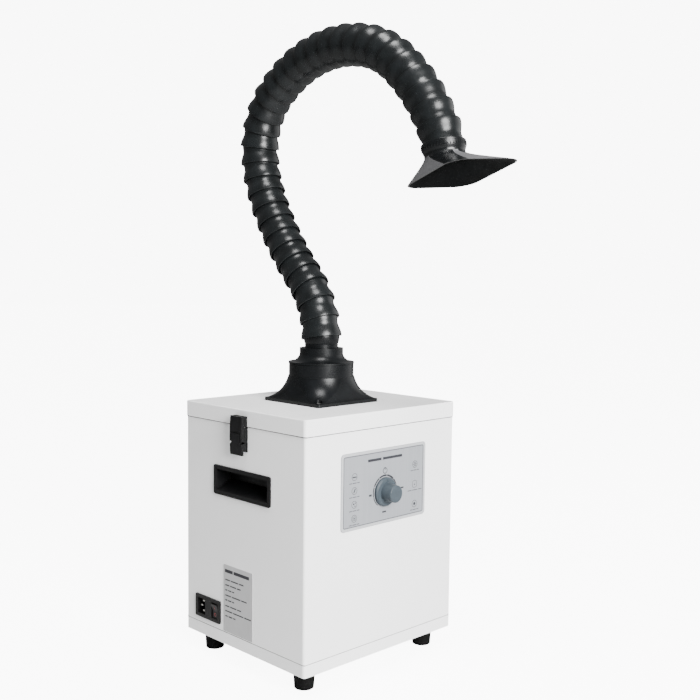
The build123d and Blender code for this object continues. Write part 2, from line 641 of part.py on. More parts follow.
def blower_motor():
    """The motor can under the fan case, with its bearing bores."""
    motor = rod(MOTOR_RADIUS, (0, 0, MOTOR_BOTTOM), (0, 0, BLOWER_BOTTOM - 3))
    motor = fillet(motor.edges().group_by(Axis.Z)[0], 3)
    for angle in (45, 135, 225, 315):
        motor += Rot(0, 0, angle) * block(MOTOR_RADIUS - 6, MOTOR_RADIUS + 6, -5, 5,
                                          BLOWER_BOTTOM - 5, BLOWER_BOTTOM)
    return motor - rod(MOTOR_SHAFT_RADIUS + FIT, (0, 0, MOTOR_BOTTOM + 3.5), (0, 0, BLOWER_BOTTOM))


# ---------------------------------------------------------------- wiring

def lead(points, diameter):
    """A cable as straight runs joined by arcs, each arc as large as its runs allow."""
    points = [Vector(*p) for p in points]
    radii = []
    for a, b, c in zip(points, points[1:], points[2:]):
        turn = math.radians((b - a).get_angle(c - b))
        radii.append(0.45 * min((b - a).length, (c - b).length) / math.tan(turn / 2))
    path = FilletPolyline(*points, radius=radii)
    start = Plane(origin=path @ 0, z_dir=path % 0)
    return sweep(start * Circle(diameter / 2), path)


def mains_lead():
    """From the inlet module along the left wall and up to the control board."""
    return lead(((-113.9, 66, 50), (-94, 66, 50), (-86, 30, 42), (-88, -20, 42), (-84, -66, 50),
                 (-66, -98, 76), (-44, -106, 118), (-30, -107, 160), (-25, -107.5, 201)), 6)


def motor_lead():
    """From the control board down to the motor."""
    return lead(((8, -108, 201), (10, -105, 165), (14, -102, 120), (18, -94, 80), (15, -76, 54),
                 (6, -56, 46), (3, -38.6, 45)), 5)


def main():
    os.makedirs("parts", exist_ok=True)
    save("cabinet_shell", cabinet_shell())
    save("base_tray", base_tray())
    save("rubber_feet", *[rubber_foot(x, y) for x, y in foot_places()])
    save("foot_screws", *[foot_screw(x, y) for x, y in foot_places()])
    save("lid", lid())
    save("lid_gasket", lid_gasket())
    save("exhaust_grille", exhaust_grille())
    save("control_panel", control_panel())
    save("speed_knob", speed_knob())
    save("potentiometer_shaft", potentiometer_shaft())
    save("speed_potentiometer", speed_potentiometer())
    save("control_board", control_board())
    save("power_inlet", power_inlet())
    save("inlet_pins", *inlet_pins())
    save("rocker_switch", rocker_switch())
    save("rating_plate", rating_plate())
    for side, name in ((-1, "left"), (1, "right")):
        save(f"{name}_handle_cup", handle_cup(side))
        save(f"{name}_latch_base", latch_base(side))
        save(f"{name}_latch_keeper", latch_keeper(side))
        save(f"{name}_latch_lever", latch_lever(side))
        save(f"{name}_latch_bail", latch_bail(side))
    save("hose_flange", hose_flange())
    save("flange_screws", *[flange_screw(x, y) for x, y in flange_screw_places()])
    save("swivel_cuff", swivel_cuff())
    frames = arm_frames()
    rings = [at_frame(frame) * ring() for frame in frames[:-1]]
    for first in range(0, len(rings), RINGS_PER_LINK):
        number = first // RINGS_PER_LINK + 1
        save(f"arm_link_{number:02d}", *rings[first:first + RINGS_PER_LINK])
    save("suction_hood", at_frame(frames[-1]) * suction_hood())
    save("filter_shelf", filter_shelf())
    save("carbon_filter", filter_slab(SHELF_Z + 0.5, SHELF_Z + 36, 8))
    save("hepa_filter", filter_slab(SHELF_Z + 36.5, SHELF_Z + 140, 10))
    save("prefilter_pad", filter_slab(SHELF_Z + 140.5, SHELF_Z + 162, 4))
    save("blower_housing", blower_housing())
    save("blower_inlet_ring", blower_inlet_ring())
    save("impeller", impeller())
    save("blower_shaft", blower_shaft())
    save("blower_motor", blower_motor())
    save("mains_lead", mains_lead())
    save("motor_lead", motor_lead())


main()
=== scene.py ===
import bmesh
import bpy
import json
import math
from mathutils import Matrix, Vector


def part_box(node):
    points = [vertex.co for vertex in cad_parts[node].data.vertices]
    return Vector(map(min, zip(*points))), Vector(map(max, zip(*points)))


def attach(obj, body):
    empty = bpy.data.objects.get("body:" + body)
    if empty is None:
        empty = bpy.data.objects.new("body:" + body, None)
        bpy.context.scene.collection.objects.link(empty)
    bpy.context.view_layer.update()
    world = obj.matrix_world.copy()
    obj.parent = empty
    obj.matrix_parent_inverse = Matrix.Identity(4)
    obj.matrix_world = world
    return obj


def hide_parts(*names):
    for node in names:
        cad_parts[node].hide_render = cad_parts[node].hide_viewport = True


# Looks of the benchtop solder fume extractor: finishes for every sub-part of the packed
# frame, and the printed and moulded detail that the CAD leaves out.  Metres, +Z up,
# the control panel faces -Y.

MM = 0.001

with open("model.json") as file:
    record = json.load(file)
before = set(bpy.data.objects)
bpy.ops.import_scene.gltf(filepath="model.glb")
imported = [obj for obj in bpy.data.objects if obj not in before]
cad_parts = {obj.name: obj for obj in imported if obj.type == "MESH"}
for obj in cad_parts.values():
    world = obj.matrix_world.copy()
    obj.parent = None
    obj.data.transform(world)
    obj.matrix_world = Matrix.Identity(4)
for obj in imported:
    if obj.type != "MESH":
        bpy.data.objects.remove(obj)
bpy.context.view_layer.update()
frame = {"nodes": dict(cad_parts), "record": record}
nodes = frame["nodes"]
record = frame["record"]


# ---------------------------------------------------------------- materials

# Octaves of noise behind each kind of variation
MOTTLE_DETAIL, GLOSS_DETAIL, GRAIN_DETAIL = 4.0, 3.0, 2.0


class Shader:
    """A Principled material whose colour, roughness and surface vary with object-space noise."""

    def __init__(self, name, colour, roughness, metallic=0.0, specular=0.5):
        self.material = bpy.data.materials.new(name)
        self.material.use_nodes = True
        self.tree = self.material.node_tree
        self.bsdf = self.tree.nodes["Principled BSDF"]
        self.bsdf.inputs["Metallic"].default_value = metallic
        self.bsdf.inputs["Specular IOR Level"].default_value = specular
        self.coordinates = self.node("ShaderNodeTexCoord").outputs["Object"]
        self.colour, self.roughness = colour, roughness

    def node(self, kind, **settings):
        made = self.tree.nodes.new(kind)
        for key, value in settings.items():
            setattr(made, key, value)
        return made

    def link(self, source, target):
        self.tree.links.new(source, target)

    def stretched(self, stretch):
        """Object coordinates scaled per axis, for brushed or streaked patterns."""
        mapping = self.node("ShaderNodeMapping")
        mapping.inputs["Scale"].default_value = stretch
        self.link(self.coordinates, mapping.inputs["Vector"])
        return mapping.outputs["Vector"]

    def noise(self, scale, detail, stretch):
        noise = self.node("ShaderNodeTexNoise")
        noise.inputs["Scale"].default_value = scale
        noise.inputs["Detail"].default_value = detail
        self.link(self.stretched(stretch), noise.inputs["Vector"])
        return noise.outputs["Fac"]

    def ramp(self, value, low, high, out_low, out_high):
        """The value mapped from one range to another."""
        mapped = self.node("ShaderNodeMapRange")
        for socket, number in zip(mapped.inputs[1:5], (low, high, out_low, out_high)):
            socket.default_value = number
        self.link(value, mapped.inputs[0])
        return mapped.outputs[0]

    def mottle(self, scale, spread, stretch=(1, 1, 1)):
        """Darken the base colour in patches by a share of itself."""
        mix = self.node("ShaderNodeMix", data_type="RGBA")
        darker = tuple(channel * (1 - spread) for channel in self.colour)
        mix.inputs["A"].default_value = (*self.colour, 1)
        mix.inputs["B"].default_value = (*darker, 1)
        patches = self.noise(scale, MOTTLE_DETAIL, stretch)
        self.link(self.ramp(patches, 0.35, 0.65, 0, 1), mix.inputs["Factor"])
        self.link(mix.outputs["Result"], self.bsdf.inputs["Base Color"])
        return self

    def gloss(self, scale, spread, stretch=(1, 1, 1)):
        """Vary the roughness about its mean."""
        patches = self.noise(scale, GLOSS_DETAIL, stretch)
        self.link(self.ramp(patches, 0.3, 0.7, self.roughness - spread, self.roughness + spread),
                  self.bsdf.inputs["Roughness"])
        return self

    def grain(self, scale, depth, stretch=(1, 1, 1)):
        """Add a fine bump of the given depth in metres."""
        bump = self.node("ShaderNodeBump")
        bump.inputs["Strength"].default_value = 1.0
        bump.inputs["Distance"].default_value = depth
        self.link(self.noise(scale, GRAIN_DETAIL, stretch), bump.inputs["Height"])
        self.link(bump.outputs["Normal"], self.bsdf.inputs["Normal"])
        return self


def finish(name, colour, roughness, mottle, gloss, grain, **extra):
    """A material from (scale, spread) pairs for colour and gloss and (scale, depth) for grain."""
    shader = Shader(name, colour, roughness, **extra)
    shader.mottle(*mottle).gloss(*gloss).grain(*grain)
    return shader.material


MATERIALS = {
    "white_steel": finish("white_powder_coat", (0.80, 0.80, 0.80), 0.38,
                          (7, 0.02), (30, 0.05), (1400, 0.00003), specular=0.35),
    "arm_plastic": finish("arm_black", (0.005, 0.006, 0.0065), 0.3,
                          (60, 0.4), (90, 0.05), (260, 0.00005), specular=0.26),
    "flange_plastic": finish("flange_black", (0.0035, 0.004, 0.0045), 0.3,
                             (40, 0.4), (60, 0.05), (200, 0.00005), specular=0.15),
    "hood_plastic": finish("hood_black", (0.0035, 0.004, 0.0045), 0.27,
                           (50, 0.4), (70, 0.05), (220, 0.000015), specular=0.24),
    "latch_plastic": finish("latch_black", (0.0035, 0.0035, 0.0038), 0.45,
                            (120, 0.3), (160, 0.06), (1800, 0.00004), specular=0.16),
    "inlet_plastic": finish("inlet_black", (0.004, 0.004, 0.004), 0.4,
                            (120, 0.3), (160, 0.06), (1800, 0.00004), specular=0.18),
    "rocker_plastic": finish("rocker_black", (0.005, 0.004, 0.004), 0.3,
                             (150, 0.3), (200, 0.05), (900, 0.00002), specular=0.22),
    "foot_rubber": finish("foot_rubber", (0.0025, 0.0025, 0.0025), 0.62,
                          (180, 0.35), (150, 0.08), (1500, 0.00008), specular=0.08),
    "panel_film": finish("panel_film", (0.205, 0.213, 0.227), 0.38,
                         (400, 0.05, (1, 1, 0.02)), (300, 0.04), (900, 0.00002)),
    "knob_plastic": finish("knob_blue_grey", (0.034, 0.045, 0.054), 0.45,
                           (150, 0.12), (200, 0.06), (1600, 0.00003), specular=0.3),
    "steel_bright": finish("zinc_steel", (0.52, 0.52, 0.51), 0.32,
                           (300, 0.12), (200, 0.08), (700, 0.00003), metallic=1.0),
    "plate_foil": finish("plate_foil", (0.365, 0.365, 0.368), 0.42,
                         (60, 0.05), (300, 0.05), (800, 0.00002, (1, 0.03, 1))),
    "gasket_foam": finish("gasket_foam", (0.03, 0.03, 0.03), 0.9,
                          (900, 0.5), (400, 0.05), (2200, 0.0003)),
    "prefilter_wool": finish("prefilter_wool", (0.78, 0.79, 0.76), 0.92,
                             (300, 0.12), (200, 0.04), (1300, 0.0006)),
    "hepa_media": finish("hepa_paper", (0.8, 0.8, 0.76), 0.85,
                         (90, 0.06), (200, 0.05), (280, 0.0008, (1, 0.02, 0.02))),
    "carbon_media": finish("carbon_granules", (0.03, 0.03, 0.03), 0.7,
                           (700, 0.6), (500, 0.15), (600, 0.0008)),
    "fan_plastic": finish("fan_grey", (0.045, 0.046, 0.048), 0.48,
                          (80, 0.2), (160, 0.06), (1500, 0.00004)),
    "board_laminate": finish("board_green", (0.015, 0.10, 0.045), 0.35,
                             (260, 0.25), (200, 0.08), (900, 0.00003)),
    "cable_jacket": finish("cable_jacket", (0.02, 0.02, 0.02), 0.5,
                           (200, 0.3), (200, 0.08), (900, 0.00005)),
    "contact_brass": finish("nickel_contact", (0.42, 0.41, 0.38), 0.3,
                            (300, 0.1), (200, 0.06), (700, 0.00002), metallic=1.0),
}

# Painted reflection: the hood's flat outer faces catch the light, so they wear a lighter grey than the
# black moulding.
HOOD_PAINTED_REFLECTION = finish("hood_painted_reflection", (0.08, 0.08, 0.084), 0.42,
                    (300, 0.25), (300, 0.05), (1500, 0.00004), specular=0.5)
# Painted shade: the hood's inside does not catch the light, so it wears a darker, duller black than the
# same moulding outside.
HOOD_PAINTED_SHADE = finish("hood_painted_shade", (0.0025, 0.0028, 0.003), 0.6,
                     (50, 0.4), (70, 0.05), (220, 0.00003), specular=0.06)
PRINT_DARK = finish("print_dark", (0.008, 0.009, 0.013), 0.5, (500, 0.3), (300, 0.06), (1500, 0.00001))
PRINT_GREY = finish("print_grey", (0.05, 0.053, 0.062), 0.5, (500, 0.3), (300, 0.06), (1500, 0.00001))
PRINT_LIGHT = finish("print_light", (0.33, 0.335, 0.345), 0.42, (300, 0.06), (300, 0.05), (900, 0.00001))
PRINT_RED = finish("print_red", (0.16, 0.014, 0.014), 0.4, (500, 0.3), (300, 0.05), (900, 0.00001))

for part in record["subparts"]:
    mesh = nodes[part["node"]].data
    mesh.materials.clear()
    mesh.materials.append(MATERIALS[part["material_slot"]])


# ---------------------------------------------------------------- printed detail

class Surface:
    """A flat place on the object: an origin, a right and an up direction, in metres."""

    def __init__(self, origin, right, up):
        self.origin, self.right, self.up = Vector(origin), Vector(right), Vector(up)
        self.normal = self.right.cross(self.up)

    def at(self, u, v, height):
        return self.origin + self.right * u + self.up * v + self.normal * height


class Print:
    """Thin raised marks on one surface, gathered into one closed mesh."""

    THICKNESS = 0.08 * MM
    SUNK = 0.02 * MM

    def __init__(self, surface):
        self.surface = surface
        self.vertices, self.faces = [], []

    def _level(self, points, height):
        first = len(self.vertices)
        self.vertices += [self.surface.at(u * MM, v * MM, height) for u, v in points]
        return range(first, len(self.vertices))

    def fill(self, points):
        """One solid mark with the given outline, anticlockwise."""
        low, high = self._level(points, -self.SUNK), self._level(points, self.THICKNESS)
        self.faces += [tuple(high), tuple(reversed(low))]
        self._wall(low, high)
        return self

    def _wall(self, low, high):
        count = len(low)
        for i in range(count):
            j = (i + 1) % count
            self.faces.append((low[i], low[j], high[j], high[i]))

    def band(self, outer, inner):
        """The strip between two outlines with the same number of points, both anticlockwise."""
        levels = [self._level(points, height) for points in (outer, inner)
                  for height in (-self.SUNK, self.THICKNESS)]
        outer_low, outer_high, inner_low, inner_high = levels
        self._wall(outer_low, outer_high)
        self._wall(inner_high, inner_low)
        count = len(outer_low)
        for i in range(count):
            j = (i + 1) % count
            self.faces.append((outer_high[i], outer_high[j], inner_high[j], inner_high[i]))
            self.faces.append((outer_low[j], outer_low[i], inner_low[i], inner_low[j]))
        return self

    def bar(self, u, v, width, height):
        return self.fill([(u - width / 2, v - height / 2), (u + width / 2, v - height / 2),
                          (u + width / 2, v + height / 2), (u - width / 2, v + height / 2)])

    def disc(self, u, v, radius):
        return self.fill(circle(u, v, radius))

    def ring(self, u, v, radius, width):
        return self.band(circle(u, v, radius), circle(u, v, radius - width))

    def build(self, name, body, material, slot):
        mesh = bpy.data.meshes.new(name)
        mesh.from_pydata(self.vertices, [], self.faces)
        return add_piece(name, mesh, body, material)


def circle(u, v, radius, count=32):
    angles = [math.radians(360.0 * i / count) for i in range(count)]
    return [(u + radius * math.cos(a), v + radius * math.sin(a)) for a in angles]


def rounded(u, v, width, height, radius, steps=6):
    """A rounded rectangle about (u, v), anticlockwise."""
    points = []
    for turn, (sx, sy) in enumerate(((1, 1), (-1, 1), (-1, -1), (1, -1))):
        cu, cv = u + sx * (width / 2 - radius), v + sy * (height / 2 - radius)
        for i in range(steps + 1):
            a = math.radians(90 * (turn + i / steps))
            points.append((cu + radius * math.cos(a), cv + radius * math.sin(a)))
    return points


class Solid:
    """Closed shapes gathered into one smooth-shaded mesh, in millimetres of the object's frame.

    finishes holds the material index of every face that does not wear the first material.
    """

    def __init__(self):
        self.vertices, self.faces = [], []
        self.finishes = {}

    def turned(self, profile, place, count=72):
        """Turn a closed outline of (radius, height) about the Z axis of a placing matrix."""
        first, size = len(self.vertices), len(profile)
        for i in range(count):
            spin = place @ Matrix.Rotation(2 * math.pi * i / count, 4, "Z")
            self.vertices += [(spin @ Vector((radius, 0, height))) * MM for radius, height in profile]
        for i in range(count):
            here, there = first + i * size, first + (i + 1) % count * size
            for k in range(size):
                n = (k + 1) % size
                self.faces.append((here + k, there + k, there + n, here + n))
        return self

    def lofted(self, outer, inner):
        """Join matching closed outlines into an outer and an inner skin, closed at both rims."""
        count = len(outer[0])
        starts = []
        for loop in (*outer, *reversed(inner)):
            starts.append(len(self.vertices))
            self.vertices += [point * MM for point in loop]
        for here, there in zip(starts, starts[1:] + starts[:1]):
            for k in range(count):
                n = (k + 1) % count
                self.faces.append((here + k, here + n, there + n, there + k))
        return self

    def swept(self, section, place, low, high):
        """Push a closed outline of (x, z) along the Y axis of a placing matrix."""
        first, size = len(self.vertices), len(section)
        for y in (low, high):
            self.vertices += [(place @ Vector((x, y, z))) * MM for x, z in section]
        near, far = range(first, first + size), range(first + size, first + 2 * size)
        self.faces += [tuple(near), tuple(reversed(far))]
        for k in range(size):
            n = (k + 1) % size
            self.faces.append((near[n], near[k], far[k], far[n]))
        return self

    def build(self, name, body, slot):
        mesh = bpy.data.meshes.new(name)
        mesh.from_pydata(self.vertices, [], self.faces)
        for index, finish_index in self.finishes.items():
            mesh.polygons[index].material_index = finish_index
        shape = bmesh.new()
        shape.from_mesh(mesh)
        bmesh.ops.recalc_face_normals(shape, faces=shape.faces)
        shape.to_mesh(mesh)
        shape.free()
        mesh.shade_smooth()
        mesh.set_sharp_from_angle(angle=math.radians(32))
        return add_piece(name, mesh, body, MATERIALS[slot])


def add_piece(name, mesh, body, material):
    """Link a finished mesh and let it ride on a body."""
    mesh.materials.append(material)
    piece = bpy.data.objects.new(name, mesh)
    bpy.context.scene.collection.objects.link(piece)
    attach(piece, body)
    return piece


panel_low, panel_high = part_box("control_panel")
PANEL_WIDTH = (panel_high.x - panel_low.x) / MM
PANEL_HEIGHT = (panel_high.z - panel_low.z) / MM
PANEL_Z = (panel_high.z + panel_low.z) / 2 / MM
DIAL_Z = (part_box("speed_knob")[0].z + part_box("speed_knob")[1].z) / 2 / MM
panel = Surface((0, panel_low.y, 0), (1, 0, 0), (0, 0, 1))


def rim_of(inset, radius):
    return rounded(0, PANEL_Z, PANEL_WIDTH - 2 * inset, PANEL_HEIGHT - 2 * inset, radius)


Print(panel).band(rim_of(0.4, 4.6), rim_of(3.6, 3.0)).build(
    "panel_border", "cabinet", PRINT_LIGHT, "panel_film")
Print(panel).band(rim_of(4.2, 2.6), rim_of(5.1, 2.0)).build(
    "panel_frame_line", "cabinet", PRINT_GREY, "panel_film")

# Icons stand in two columns, each over a short line.  The shapes are plain and generic.
LEFT_COLUMN, RIGHT_COLUMN = -56.3, 59.0
ICON_RADIUS, ICON_LINE = 4.9, 0.55
CAPTION_DROP = 8.1
icons = Print(panel)
captions = Print(panel)


def caption(u, v, width):
    """A row of three dashes."""
    for share, part_width in ((-0.33, 0.26), (0.02, 0.34), (0.36, 0.22)):
        captions.bar(u + share * width, v, part_width * width, 1.1)


def spokes(u, v, inner, outer, count, width):
    for i in range(count):
        a = 2 * math.pi * i / count
        du, dv = math.cos(a), math.sin(a)
        icons.fill([(u + du * inner + dv * width / 2, v + dv * inner - du * width / 2),
                    (u + du * outer + dv * width / 2, v + dv * outer - du * width / 2),
                    (u + du * outer - dv * width / 2, v + dv * outer + du * width / 2),
                    (u + du * inner - dv * width / 2, v + dv * inner + du * width / 2)])


LEFT_ROWS = [PANEL_Z + rise for rise in (19.1, 0.9, -17.0, -35.3)]
RIGHT_ROWS = [PANEL_Z + rise for rise in (21.1, -6.3, -33.5)]
for z in LEFT_ROWS:
    icons.ring(LEFT_COLUMN, z, ICON_RADIUS, ICON_LINE)
    caption(LEFT_COLUMN, z - CAPTION_DROP, 20)
icons.bar(LEFT_COLUMN, LEFT_ROWS[0] - 0.4, 7.0, 1.5)
icons.fill([(LEFT_COLUMN - 1.9, LEFT_ROWS[1] - 2.6), (LEFT_COLUMN - 0.4, LEFT_ROWS[1] - 2.9),
            (LEFT_COLUMN + 2.6, LEFT_ROWS[1] + 2.6), (LEFT_COLUMN + 0.6, LEFT_ROWS[1] + 2.6)])
icons.disc(LEFT_COLUMN - 1.0, LEFT_ROWS[2] + 0.7, 1.2).disc(LEFT_COLUMN + 2.0, LEFT_ROWS[2] + 1.8, 0.8)
icons.disc(LEFT_COLUMN + 1.4, LEFT_ROWS[2] - 2.2, 0.9)
icons.band(rounded(LEFT_COLUMN, LEFT_ROWS[3], 5.4, 5.4, 1),
           rounded(LEFT_COLUMN, LEFT_ROWS[3], 4.4, 4.4, 0.5))
icons.disc(LEFT_COLUMN, LEFT_ROWS[3], 1.1)
icons.ring(RIGHT_COLUMN, RIGHT_ROWS[0], ICON_RADIUS, ICON_LINE)
spokes(RIGHT_COLUMN, RIGHT_ROWS[0], 0.9, 3.4, 6, 0.8)
icons.band(rounded(RIGHT_COLUMN, RIGHT_ROWS[1], 8.2, 9.6, 2),
           rounded(RIGHT_COLUMN, RIGHT_ROWS[1], 7.2, 8.6, 1.5))
icons.disc(RIGHT_COLUMN, RIGHT_ROWS[1] - 0.5, 1.0)
icons.ring(RIGHT_COLUMN, RIGHT_ROWS[2], ICON_RADIUS, ICON_LINE).disc(RIGHT_COLUMN, RIGHT_ROWS[2], 2.1)
for z, width in zip(RIGHT_ROWS, (18, 30, 18)):
    caption(RIGHT_COLUMN, z - CAPTION_DROP, width)
icons.build("panel_icons", "cabinet", PRINT_DARK, "panel_film")

# The dial: a band that thickens towards full speed, cut by ticks, and marks at its ends.
DIAL_INNER, DIAL_OUTER, DIAL_GROWTH = 20.6, 21.6, 2.0
DIAL_GAP = 2.6
DIAL_START, DIAL_END, DIAL_STEPS, DIAL_POINTS = 232, 2, 6, 8
dial = Print(panel)
for i in range(DIAL_STEPS):
    step = (DIAL_END - DIAL_START) / DIAL_STEPS
    a0, a1 = DIAL_START + step * i, DIAL_START + step * (i + 1)
    outer_0 = DIAL_OUTER + DIAL_GROWTH * i / DIAL_STEPS
    outer_1 = DIAL_OUTER + DIAL_GROWTH * (i + 1) / DIAL_STEPS
    angles = [math.radians(a0 + (a1 + DIAL_GAP - a0) * k / DIAL_POINTS) for k in range(DIAL_POINTS + 1)]
    radii = [outer_0 + (outer_1 - outer_0) * k / DIAL_POINTS for k in range(DIAL_POINTS + 1)]
    outer = [(radius * math.cos(a), DIAL_Z + radius * math.sin(a)) for radius, a in zip(radii, angles)]
    inner = [(DIAL_INNER * math.cos(a), DIAL_Z + DIAL_INNER * math.sin(a)) for a in angles]
    dial.fill(list(reversed(outer)) + inner)
dial.ring(0.4, DIAL_Z + 28.1, 4.2, 0.9)
dial.bar(0.4, DIAL_Z + 30.9, 1.1, 3.4)
dial.bar(-27, DIAL_Z - 1.5, 5.0, 2.6).bar(-0.5, DIAL_Z - 27.1, 7.5, 2.2)
dial.bar(33, DIAL_Z + 0.5, 7.5, 2.2)
dial.build("panel_dial", "cabinet", PRINT_DARK, "panel_film")
captions.build("panel_captions", "cabinet", PRINT_GREY, "panel_film")

heading = Print(panel)
heading.bar(-19.5, PANEL_Z + 36.7, 25, 3.4).bar(14.5, PANEL_Z + 36.7, 37, 3.4)
heading.build("panel_heading_bars", "cabinet", PRINT_DARK, "panel_film")

# Rating plate: rows of plain dashes.
plate_low, plate_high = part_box("rating_plate")
plate = Surface((plate_low.x, 0, 0), (0, -1, 0), (0, 0, 1))
rows = Print(plate)
ROW_START = -(plate_high.y / MM) + 3.0
PLATE_TOP = plate_high.z / MM
rows.bar(ROW_START + 8.5, PLATE_TOP - 8.3, 17, 4.4).bar(ROW_START + 35.5, PLATE_TOP - 8.3, 33, 4.4)
for drop, width in ((20.4, 41), (27.7, 35), (34.7, 21), (41.9, 48), (48.5, 21), (56.5, 36),
                    (63.5, 57), (70.5, 24)):
    left = ROW_START
    for share in (0.3, 0.42, 0.28):
        rows.bar(left + share * width / 2, PLATE_TOP - drop, share * width - 1.6, 1.7)
        left += share * width
rows.build("plate_print", "cabinet", PRINT_DARK, "plate_foil")


def joint_place(name):
    """Where a joint of the record stands."""
    return next(joint["pos_m"] for joint in record["behaviour"]["joints"] if joint["name"] == name)


# ---------------------------------------------------------------- arm and hood

RING_PITCH = 24.0
RINGS_PER_LINK = 2
# Degrees, forward positive: the first ring's lean, then runs of (joints, bend at each at rest)
FIRST_RING_LEAN = -9.5
REST_BENDS = ((3, -10.5), (1, -1.5), (4, 3.0), (2, 4.5), (2, 8.5), (4, 13.5), (4, 7.0), (4, 6.5),
              (3, 9.0), (4, 5.0), (2, 9.0))
# Half section of a bell ring: its lip, the outside up to the ball, the bore and the socket
RING_PROFILE = ((26.9, -1.0), (27.9, -1.0), (28.4, -0.5), (28.5, 0.6), (28.35, 3.0), (27.9, 5.5),
                (27.3, 8.0), (26.5, 10.5), (25.65, 13.0), (24.95, 15.5), (24.65, 18.0), (24.8, 21.0),
                (25.2, 24.0), (25.1, 26.0), (24.85, 28.0), (24.4, 30.3), (24.0, 31.0), (20.5, 31.0),
                (20.5, 15.2), (22.5, 12.0), (24.1, 8.3), (25.1, 4.5), (25.6, 2.0))


def ring_places():
    """The frame of every ring's socket and of the hood's, from base to tip."""
    base = Vector(joint_place("arm_01_curl")) / MM
    lean = FIRST_RING_LEAN
    places = [Matrix.Translation(base) @ Matrix.Rotation(math.radians(lean), 4, "X")]
    for count, bend in REST_BENDS:
        for _ in range(count):
            places.append(places[-1] @ Matrix.Translation((0, 0, RING_PITCH))
                          @ Matrix.Rotation(math.radians(bend), 4, "X"))
    return places


*rings, hood_place = ring_places()
for first in range(0, len(rings), RINGS_PER_LINK):
    number = first // RINGS_PER_LINK + 1
    link = Solid()
    for place in rings[first:first + RINGS_PER_LINK]:
        link.turned(RING_PROFILE, place)
    bells = link.build(f"arm_bells_{number:02d}", f"arm_{number:02d}", "arm_plastic")
    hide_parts(f"arm_link_{number:02d}")

# Half section of the hood's own bell and collar
HOOD_PROFILE = ((26.9, -1.0), (27.6, -1.0), (28.0, -0.4), (28.0, 3.0), (27.6, 6.5), (26.6, 9.6),
                (25.9, 11.0), (25.7, 12.2), (25.6, 19.0), (20.6, 19.0), (20.6, 15.2), (22.5, 12.0),
                (24.1, 8.3), (25.1, 4.5), (25.6, 2.0))
# The horn: height, and how far its outline has grown from neck to mouth
HORN_STEPS = ((13.0, 0.0), (16.0, 0.015), (19.0, 0.085), (22.0, 0.175), (25.0, 0.28), (28.0, 0.395),
              (31.0, 0.515), (34.0, 0.635), (37.0, 0.76), (40.0, 0.885), (43.0, 1.0))
HORN_NECK, HORN_NECK_CORNER = 50.8, 25.3
HORN_WIDTH, HORN_DEPTH, HORN_CORNER = 98.0, 131.0, 24.0
HORN_OFFSET, HORN_TURN, HORN_WALL = 20.5, 20.0, 2.5
HORN_CORNER_POINTS = 13
# Places of the extra materials on the horn, after the hood's own: painted reflection on the flat sides,
# painted shade inside
PAINTED_REFLECTION_INDEX, PAINTED_SHADE_INDEX = 1, 2


def horn_outline(height, grown, inset):
    width, depth, corner = (
        neck + (mouth - neck) * grown - inset * share
        for neck, mouth, share in ((HORN_NECK, HORN_WIDTH, 2), (HORN_NECK, HORN_DEPTH, 2),
                                   (HORN_NECK_CORNER, HORN_CORNER, 1)))
    place = (hood_place @ Matrix.Translation((0, HORN_OFFSET * grown, height))
             @ Matrix.Rotation(math.radians(HORN_TURN), 4, "Z"))
    return [place @ Vector((u, v, 0))
            for u, v in rounded(0, 0, width, depth, corner, HORN_CORNER_POINTS - 1)]


horn = Solid().turned(HOOD_PROFILE, hood_place)
first_face = len(horn.faces)
horn.lofted([horn_outline(z, grown, 0) for z, grown in HORN_STEPS],
            [horn_outline(z, grown, HORN_WALL) for z, grown in HORN_STEPS])
loop_faces = len(horn_outline(0, 0, 0))
mouth_rim = first_face + (len(HORN_STEPS) - 1) * loop_faces
# In each quarter of an outline the last face is the flat side; its neighbours blend into it
FLAT_PLACES = (0, HORN_CORNER_POINTS - 2, HORN_CORNER_POINTS - 1)
flat_sides = (index for index in range(first_face, mouth_rim)
              if (index - first_face) % HORN_CORNER_POINTS in FLAT_PLACES)
# The flat sides wear the lighter grey of painted reflection.
horn.finishes.update((index, PAINTED_REFLECTION_INDEX) for index in flat_sides)
# The inside faces wear the near black of painted shade.
horn.finishes.update((index, PAINTED_SHADE_INDEX)
                     for index in range(mouth_rim + loop_faces, len(horn.faces)))
horn_piece = horn.build("hood_horn", "hood", "hood_plastic")
horn_piece.data.materials.append(HOOD_PAINTED_REFLECTION)
horn_piece.data.materials.append(HOOD_PAINTED_SHADE)
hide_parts("suction_hood")

HOOD_RIBS, RIB_HALF_WIDTH = 44, 0.6
RIB_SECTION = [(27.0, 1.0), (28.5, 1.8), (28.35, 4.6), (27.9, 6.6), (27.0, 7.6)]
ribs = Solid()
for i in range(HOOD_RIBS):
    rib_place = hood_place @ Matrix.Rotation(2 * math.pi * i / HOOD_RIBS, 4, "Z")
    ribs.swept(RIB_SECTION, rib_place, -RIB_HALF_WIDTH, RIB_HALF_WIDTH)
ribs.build("hood_ribs", "hood", "hood_plastic")


# ---------------------------------------------------------------- seams

SEAM_PROUD, SEAM_DEPTH, SEAM_CORNER = 0.06, 1.3, 3.0
TRAY_OVERLAP, LID_OVERLAP, LID_CLEARANCE = 0.15, 0.4, 0.02
LID_GAP = 0.8


